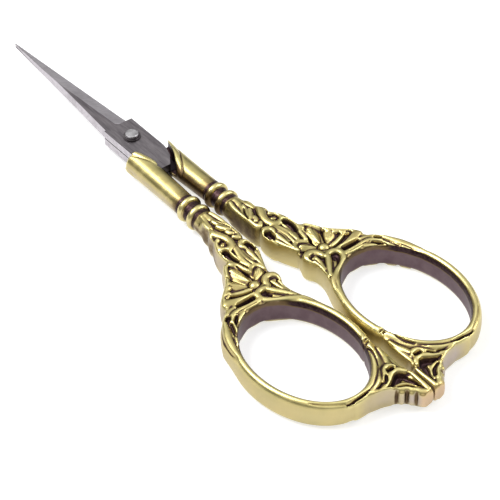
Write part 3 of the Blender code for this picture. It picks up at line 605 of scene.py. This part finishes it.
def surface_of(field):
    """Surface nets: one vertex in each cell that the surface crosses, quads between them."""
    inside = field < 0
    shape = np.array(field.shape) - 1
    corners = [(i, j, k) for i in (0, 1) for j in (0, 1) for k in (0, 1)]
    count = sum(inside[tuple(slice(a, a + n) for a, n in zip(at, shape))].astype(np.int8)
                for at in corners)
    active = (count > 0) & (count < len(corners))
    cells = np.argwhere(active)
    number = np.full(active.shape, -1, np.int64)
    number[active] = np.arange(len(cells))
    total = np.zeros((len(cells), 3))
    hits = np.zeros(len(cells))
    for at in corners:
        for axis in range(3):
            if at[axis]:
                continue
            way = np.eye(3, dtype=int)[axis]
            a = field[tuple((cells + at).T)]
            b = field[tuple((cells + at + way).T)]
            crossed = (a < 0) != (b < 0)
            t = np.where(crossed, a / np.where(crossed, a - b, 1), 0)
            total += (at + t[:, None] * way) * crossed[:, None]
            hits += crossed
    quads = []
    for axis in range(3):
        u, v = (axis + 1) % 3, (axis + 2) % 3
        here, there = [slice(None)] * 3, [slice(None)] * 3
        here[axis], there[axis] = slice(None, -1), slice(1, None)
        here, there = inside[tuple(here)], inside[tuple(there)]
        places = np.argwhere(here != there)
        places = places[(places[:, u] > 0) & (places[:, v] > 0)
                        & (places[:, u] < shape[u]) & (places[:, v] < shape[v])]
        step_u, step_v = np.eye(3, dtype=int)[[u, v]]
        ring = np.stack([number[tuple((places - step).T)]
                         for step in (step_u + step_v, step_v, 0 * step_u, step_u)], 1)
        outwards = ~here[tuple(places.T)]
        ring[outwards] = ring[outwards][:, ::-1]
        quads.append(ring)
    return cells + total / hits[:, None], np.vstack(quads)


def blurred(values, reach, passes=2):
    """Box blur, by running totals along each axis."""
    for _ in range(passes):
        for axis in range(3):
            total = np.cumsum(np.pad(values, [(reach + 1, reach) if a == axis else (0, 0)
                                              for a in range(3)], mode="edge"), axis=axis)
            high = np.take(total, range(2 * reach + 1, total.shape[axis]), axis=axis)
            low = np.take(total, range(0, total.shape[axis] - 2 * reach - 1), axis=axis)
            values = (high - low) / (2 * reach + 1)
    return values


def sampled(field, places):
    """Trilinear values at places given in cells."""
    base = np.clip(np.floor(places).astype(int), 0, np.array(field.shape) - 2)
    share = places - base
    result = 0
    for at in ((i, j, k) for i in (0, 1) for j in (0, 1) for k in (0, 1)):
        weight = np.prod(np.where(np.array(at), share, 1 - share), axis=1)
        result = result + weight * field[tuple((base + at).T)]
    return result


def relaxed(points, quads, rounds=2, amount=0.35):
    """Light smoothing along the mesh's edges."""
    for _ in range(rounds):
        total = np.zeros_like(points)
        degree = np.zeros(len(points))
        for a, b in ((0, 1), (1, 2), (2, 3), (3, 0)):
            np.add.at(total, quads[:, a], points[quads[:, b]])
            np.add.at(total, quads[:, b], points[quads[:, a]])
            np.add.at(degree, quads[:, a], 1)
            np.add.at(degree, quads[:, b], 1)
        points = points + amount * (total / degree[:, None] - points)
    return points


def handle_mesh():
    """Points and quads of the right handle, and what each point's finish depends on. How much
    of a small or wide box round a point is filled with metal tells hollows from ridges."""
    axes = [np.arange(low, high, PITCH) for low, high in zip(GRID_LOW, GRID_HIGH)]
    field, flat, hollow = handle_field(*np.meshgrid(*axes, indexing="ij"))
    cells, quads = surface_of(field)
    points = cells * PITCH + GRID_LOW
    traits = SimpleNamespace(**{
        name: sampled(np.repeat(values[..., None], 2, axis=2), cells * (1, 1, 0))
        for name, values in flat.items()
    })
    traits.sunk *= ramp(traits.highest - np.abs(points[:, 2]), 0.4, 0.1)
    traits.hollow = sampled(hollow.astype(np.float32), cells)
    filled = np.clip(0.5 - field / PITCH, 0, 1).astype(np.float32)
    traits.filled_near = sampled(blurred(filled, STEPS_NEAR), cells)
    traits.filled_wide = sampled(blurred(filled, STEPS_WIDE), cells)
    return relaxed(points, quads), quads, traits


def mesh_object(name, points, quads, turned_over):
    """World places from the local ones; the left handle is the right one turned over."""
    if turned_over:
        points = points * (-1, 1, -1)
    world = (points + (0, PIVOT_Y, MIDDLE_Z)) * MM
    mesh = bpy.data.meshes.new(name)
    mesh.vertices.add(len(world))
    mesh.vertices.foreach_set("co", world.ravel())
    mesh.loops.add(quads.size)
    mesh.loops.foreach_set("vertex_index", quads.ravel())
    mesh.polygons.add(len(quads))
    mesh.polygons.foreach_set("loop_start", np.arange(0, quads.size, 4))
    mesh.update(calc_edges=True)
    mesh.validate()
    mesh.shade_smooth()
    made = bpy.data.objects.new(name, mesh)
    bpy.context.scene.collection.objects.link(made)
    return made


# Finish of the brass, as shares from 0 to 1 at each point of a handle: patina and wear, with
# painted shade, highlights and reflections among them

def shared_finish(points, traits):
    """The shares that don't depend on how the surface lies, so both handles have them alike."""
    x, y, z = points.T
    height = np.abs(z)
    by_hole = ramp(traits.to_hole, 0.35, 0.1)
    shade_rings = np.maximum.reduce([
        strength * ramp(np.abs(y - middle), reach, 0) for middle, reach, strength in SHADE_RINGS
    ])
    to_flute = np.min([np.hypot(x - flute[0], y - flute[1]) for flute in FLUTES], axis=0)
    by_flower = ramp(y, -58, -50) * ramp(x, 4, 6)
    by_lug = ramp(y, -76, -79) * ramp(x, 12, 9)
    return SimpleNamespace(
        # dark: patina in narrow and wide recesses and on the low ground; painted shade inside the
        # ferrule and in the recesses beside the collars
        crevice=ramp(traits.filled_near, 0.50, 0.62),
        pit=ramp(traits.filled_wide, 0.58, 0.78),
        deep=ramp(traits.sunk, 0.45, 0.85),
        hollow=traits.hollow,
        shade_rings=np.minimum(shade_rings, 1) * ramp(np.hypot(x - 3.1, z), 2.35, 2.15),
        # dark: painted shade just under the hole's rim, most at the bow's far end; patina in the
        # lug's flutes
        shade_under_rim=(by_hole * ramp(height, 0.9, 1.4) * ramp(height, 2.4, 2.25)
                   * np.maximum(ramp(y, -51.6, -55.6), 0.35)),
        flute=0.7 * ramp(to_flute, FLUTE_RADIUS + 0.14, FLUTE_RADIUS - 0.06),
        # dull: patina before the collars and on the neck's walls; painted shade along the
        # ferrule's inner side, which faces the other handle
        smudge_and_shade=np.maximum(0.36 * ramp(y, -16.5, -20.5) * (y > -21.4),
                          0.42 * ramp(x, 2.1, 1.2) * ramp(y, -8.5, -12.5) * (y > -27)),
        neck=0.4 * ramp(y, -38, -35) * (y < -26.5),
        # mauve walls by flower and lug, a painted reflection; bright ridges, worn and with a
        # painted highlight; the lug's coppery end; plum bow walls
        mauve_reflection=np.maximum(by_flower, by_lug),
        wear_and_highlight=ramp(traits.filled_near, 0.50, 0.34) * ramp(traits.sunk, 0.3, 0),
        copper=0.36 * ramp(y, -83.9, -84.6),
        bow_wall=by_hole * ramp(height, 2.35, 1.85),
        behind_ferrule=y < -27,
    )


def finish_shares(cast, finish, edge_near, upwards):
    """The shares that the brass material reads, with the surface's slope taken in."""
    normals = np.empty(3 * len(cast.data.vertices), np.float32)
    cast.data.vertices.foreach_get("normal", normals)
    level = np.abs(normals[2::3])
    steep = np.clip(1.1 - 2.2 * level, 0, 1)
    off_edge = np.maximum(1 - edge_near, ramp(level, 0.3, 0.7))
    # Patina together with painted shade: just under the hole's rim on the side that faces up,
    # beside the collars, inside the ferrule and along its inner side
    patina_and_shade = np.maximum.reduce([
        finish.crevice * (0.25 + 0.75 * off_edge), 0.9 * finish.pit * off_edge,
        finish.deep * off_edge, finish.shade_under_rim * ramp(upwards, 0, 0.5), 0.9 * finish.shade_rings,
        finish.hollow, finish.smudge_and_shade, finish.flute, finish.neck * steep,
    ])
    # The wall share makes steep walls rougher and paler; the paler colour is a painted reflection
    # of the floor. The mauve share is a painted reflection, and the wear share adds a painted
    # highlight to worn ridges.
    return {"patina_and_shade": patina_and_shade, "mauve_reflection": finish.mauve_reflection * steep, "wear_and_highlight": finish.wear_and_highlight,
            "copper": finish.copper, "wall": steep * finish.behind_ferrule,
            "hollow": finish.bow_wall}


# Materials

class Nodes:
    """Short calls for a node tree; each input is a value or another node's output."""

    def __init__(self, owner, shader="Principled BSDF"):
        owner.use_nodes = True
        self.owner = owner
        self.tree = owner.node_tree
        self.shader = self.tree.nodes[shader]

    def feed(self, node, inputs):
        """Sets or links a node's inputs, given by name or number."""
        for key, value in inputs.items():
            if isinstance(value, bpy.types.NodeSocket):
                self.tree.links.new(value, node.inputs[key])
            else:
                node.inputs[key].default_value = value

    def add(self, kind, *inputs, **settings):
        """A node with its first inputs; None leaves one as it is."""
        node = self.tree.nodes.new(kind)
        for key, value in settings.items():
            setattr(node, key, value)
        self.feed(node, {k: value for k, value in enumerate(inputs) if value is not None})
        return node

    def shade(self, **inputs):
        """Sets the shader's inputs, named with underscores for spaces."""
        self.feed(self.shader, {key.replace("_", " "): value for key, value in inputs.items()})

    def place(self):
        return self.add("ShaderNodeTexCoord").outputs["Object"]

    def attribute(self, name):
        return self.add("ShaderNodeAttribute", attribute_name=name).outputs["Fac"]

    def noise(self, scale, detail=4.0, stretch=(1, 1, 1), rough=0.55):
        node = self.add("ShaderNodeTexNoise")
        mapped = self.add("ShaderNodeMapping")
        self.feed(mapped, {"Vector": self.place(), "Scale": stretch})
        self.feed(node, {"Vector": mapped.outputs[0], "Scale": scale, "Detail": detail,
                         "Roughness": rough})
        return node.outputs[0]

    def math(self, operation, a, b, clamp=False):
        return self.add("ShaderNodeMath", a, b, operation=operation, use_clamp=clamp).outputs[0]

    def times(self, a, b, clamp=False):
        return self.math("MULTIPLY", a, b, clamp)

    def plus(self, a, b):
        return self.math("ADD", a, b)

    def span(self, value, low, high, to_low=0.0, to_high=1.0):
        """A smooth step from to_low at low to to_high at high."""
        return self.add("ShaderNodeMapRange", value, low, high, to_low, to_high,
                        interpolation_type="SMOOTHSTEP").outputs[0]

    def mix(self, share, a, b):
        """A colour between two colours."""
        node = self.add("ShaderNodeMix", share, data_type="RGBA")
        self.feed(node, {6: a, 7: b})
        return node.outputs[2]

    def blend(self, share, a, b):
        """A number between two numbers."""
        return self.add("ShaderNodeMix", share, None, a, b, data_type="FLOAT").outputs[0]

    def metal(self, colour, roughness, height, strength, depth):
        """Makes the material a metal with a bump of that depth in metres."""
        bump = self.add("ShaderNodeBump")
        self.feed(bump, {"Strength": strength, "Distance": depth, "Height": height})
        self.shade(Base_Color=colour, Metallic=1.0, Roughness=roughness, Normal=bump.outputs[0])
        return self.owner


def new_material(name):
    return Nodes(bpy.data.materials.new(name))


def brass():
    """Antique brass: mottled metal, bright where worn and with painted highlights, brown to nearly
    black in the patina and in painted shade; pale and mauve walls are painted reflections.
    """
    n = new_material("antique_brass_cast")
    patina_and_shade, wear_and_highlight, copper, wall, hollow, mauve_reflection = (
        n.attribute(name) for name in ("patina_and_shade", "wear_and_highlight", "copper", "wall", "hollow", "mauve_reflection")
    )
    blotch = n.noise(420.0, 3.0)
    cloud = n.noise(130.0, 2.0)
    grain = n.noise(2600.0, 4.0)
    metal = n.mix(n.span(blotch, 0.35, 0.68), DULL_BRASS, BRIGHT_BRASS)
    metal = n.mix(n.span(cloud, 0.45, 0.65, 0.0, 0.5), metal, OLIVE_BRASS)
    # worn ridges, brightened into a painted highlight
    metal = n.mix(n.times(wear_and_highlight, 0.85, clamp=True), metal, WORN_BRASS_HIGHLIGHT)
    # steep walls: rougher, and paler as a painted reflection of the floor
    metal = n.mix(n.times(wall, 0.7, clamp=True), metal, WALL_REFLECTION_BRASS)
    # mauve on steep walls: a painted reflection
    metal = n.mix(n.times(mauve_reflection, n.span(cloud, 0.3, 0.6, 0.35, 0.95)), metal, MAUVE_REFLECTION_BRASS)
    metal = n.mix(copper, metal, COPPER)
    metal = n.mix(hollow, metal, n.mix(n.span(blotch, 0.3, 0.7), *PLUM))
    # patina and painted shade, mottled by noise
    stain_and_shade = n.plus(patina_and_shade, n.times(n.plus(blotch, -0.5), 0.5))
    stain_and_shade = n.plus(stain_and_shade, n.times(n.plus(grain, -0.5), 0.18))
    metal = n.mix(n.span(stain_and_shade, 0.08, 0.45), metal, BROWN)
    black = n.span(stain_and_shade, 0.3, 0.8)
    metal = n.mix(black, metal, n.mix(n.span(grain, 0.3, 0.7), *BLACK))
    rough = n.plus(n.span(blotch, 0.3, 0.7, 0.28, 0.38), n.times(black, 0.12))
    rough = n.plus(rough, n.times(wall, 0.14))
    height = n.plus(n.times(grain, 0.5), blotch)
    return n.metal(metal, rough, height, 0.14, 0.00005)


def blade_steel(name, root_shade):
    """Ground steel, brighter on the ground band and the edges than on the faces: a painted
    reflection of their tilt over real streaks and grain. Past the ferrule's mouth the edges get
    painted shade, and the given share of painted shade darkens the faces there as well."""
    n = new_material(name)
    normal = n.add("ShaderNodeNewGeometry").outputs["True Normal"]
    level = n.math("ABSOLUTE", n.add("ShaderNodeSeparateXYZ", normal).outputs[2], None)
    flat = n.span(level, 0.965, 0.992)
    streaks = n.noise(1500.0, 5.0, (1.0, 0.1, 1.0), 0.75)
    cross = n.noise(1500.0, 4.0, (0.06, 1.0, 1.0), 0.6)
    cloud = n.noise(160.0, 3.0)
    # painted reflection: tilted ground band and edges lighter, flat faces darker
    ground = n.mix(n.span(cross, 0.3, 0.7), *GROUND_STEEL_REFLECTION)
    face = n.mix(n.span(streaks, 0.3, 0.7), *FACE_STEEL_REFLECTION)
    colour = n.mix(flat, ground, face)
    colour = n.mix(n.span(cloud, 0.4, 0.75, 0.0, 0.25), colour, CLOUDED_STEEL)
    along = n.add("ShaderNodeSeparateXYZ", n.place()).outputs[1]
    # painted shade past the ferrule's mouth: on the edges, and by the given share on the faces
    inside = n.span(n.times(along, -1.0), -ROOT_SHADE_FROM, -ROOT_SHADE_FULL)
    edges = n.times(n.math("SUBTRACT", 1.0, flat), 0.85)
    inside = n.times(inside, n.math("MAXIMUM", edges, root_shade))
    colour = n.mix(inside, colour, ROOT_SHADE)
    height = n.plus(streaks, n.times(cross, 0.6))
    return n.metal(colour, n.span(streaks, 0.25, 0.75, 0.3, 0.46), height, 0.2, 0.00003)


def rivet_steel(name, low, high):
    """Plain scuffed steel, clouded between two shades."""
    n = new_material(name)
    scuff = n.noise(1400.0, 5.0)
    colour = n.mix(n.span(n.noise(500.0, 2.0), 0.35, 0.7), low, high)
    return n.metal(colour, n.span(scuff, 0.3, 0.7, 0.25, 0.42), scuff, 0.2, 0.00003)


# Floor, world, lights and camera

def floor():
    bpy.ops.mesh.primitive_plane_add(size=FLOOR_SIZE, location=(0, 0, 0))
    plane = bpy.context.object
    plane.name = "studio_floor"
    n = new_material("studio_floor_white")
    rays = n.add("ShaderNodeLightPath").outputs
    seen = n.math("MAXIMUM", rays["Is Camera Ray"], rays["Is Glossy Ray"])
    seen = n.math("MAXIMUM", seen, rays["Is Transmission Ray"])
    n.shade(Base_Color=(FLOOR_GREY, FLOOR_GREY, FLOOR_GREY, 1), Roughness=0.9,
            Emission_Color=(1, 1, 1, 1), Emission_Strength=n.times(seen, FLOOR_GLOW))
    plane.data.materials.append(n.owner)


def world():
    """White for the camera; metal sees a soft white ceiling over greyer walls."""
    bpy.context.scene.world = bpy.data.worlds.new("studio")
    n = Nodes(bpy.context.scene.world, "Background")
    rays = n.add("ShaderNodeLightPath").outputs
    mirrored = n.math("MAXIMUM", rays["Is Glossy Ray"], rays["Is Transmission Ray"])
    way = n.add("ShaderNodeSeparateXYZ", n.add("ShaderNodeTexCoord").outputs["Generated"])
    room = n.span(way.outputs[2], CEILING_FROM, CEILING_FULL, WALLS, CEILING)
    light = n.blend(mirrored, DAYLIGHT, room)
    n.shade(Color=(1, 1, 1, 1), Strength=n.blend(rays["Is Camera Ray"], light, 1.0))


def lamp(name, place, size, power):
    """A square lamp that faces the origin."""
    light = bpy.data.lights.new(name, "AREA")
    light.shape = "RECTANGLE"
    light.size = light.size_y = size
    light.energy = power
    made = bpy.data.objects.new(name, light)
    made.location = place
    made.rotation_euler = (-Vector(place)).to_track_quat("-Z", "Y").to_euler()
    bpy.context.scene.collection.objects.link(made)


def camera():
    back = Vector((math.sin(AZIMUTH) * math.cos(ELEVATION),
                   -math.cos(AZIMUTH) * math.cos(ELEVATION), math.sin(ELEVATION)))
    right = Vector((math.cos(AZIMUTH), math.sin(AZIMUTH), 0))
    up = back.cross(right)
    turned_right = math.cos(ROLL) * right + math.sin(ROLL) * up
    turned_up = -math.sin(ROLL) * right + math.cos(ROLL) * up
    place = (Vector(TARGET) + back * DISTANCE + Vector((0, PIVOT_Y, MIDDLE_Z))) * MM
    made = bpy.data.objects.new("camera", bpy.data.cameras.new("camera"))
    made.data.sensor_width = SENSOR
    made.data.lens = FOCAL
    made.data.clip_start = 0.01
    made.matrix_world = Matrix([
        [turned_right[i], turned_up[i], back[i], place[i]] for i in range(3)
    ] + [[0, 0, 0, 1]])
    bpy.context.scene.collection.objects.link(made)
    bpy.context.scene.camera = made


# The pieces

points, quads, traits = handle_mesh()
finish = shared_finish(points, traits)
brass_material = brass()
for side, face in (("right", 1), ("left", -1)):
    cast = mesh_object(side + "_handle_cast", points, quads, side == "left")
    shares = finish_shares(cast, finish, traits.edge_near, face * points[:, 2])
    for name, values in shares.items():
        layer = cast.data.attributes.new(name, "FLOAT", "POINT")
        layer.data.foreach_set("value", np.asarray(values, np.float32))
    cast.data.materials.append(brass_material)
    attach(cast, side + "_half")
    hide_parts(side + "_handle")

washer_steel = rivet_steel("washer_steel_dark", *WASHER_STEEL)
# Both blades get painted shade on their edges past the ferrule's mouth, the rear one on its faces
# too
for node, material in {
    "front_blade": blade_steel("ground_blade_steel", 0.0),
    "rear_blade": blade_steel("ground_blade_steel_shaded_root", 0.9),
    "pivot_rivet": rivet_steel("rivet_steel_worn", *RIVET_STEEL),
    "head_washer": washer_steel,
    "tail_washer": washer_steel,
}.items():
    solid = frame["nodes"][node].data
    solid.materials.clear()
    solid.materials.append(material)

floor()
world()
for settings in LAMPS:
    lamp(*settings)
camera()
bpy.context.scene.view_settings.view_transform = "Standard"
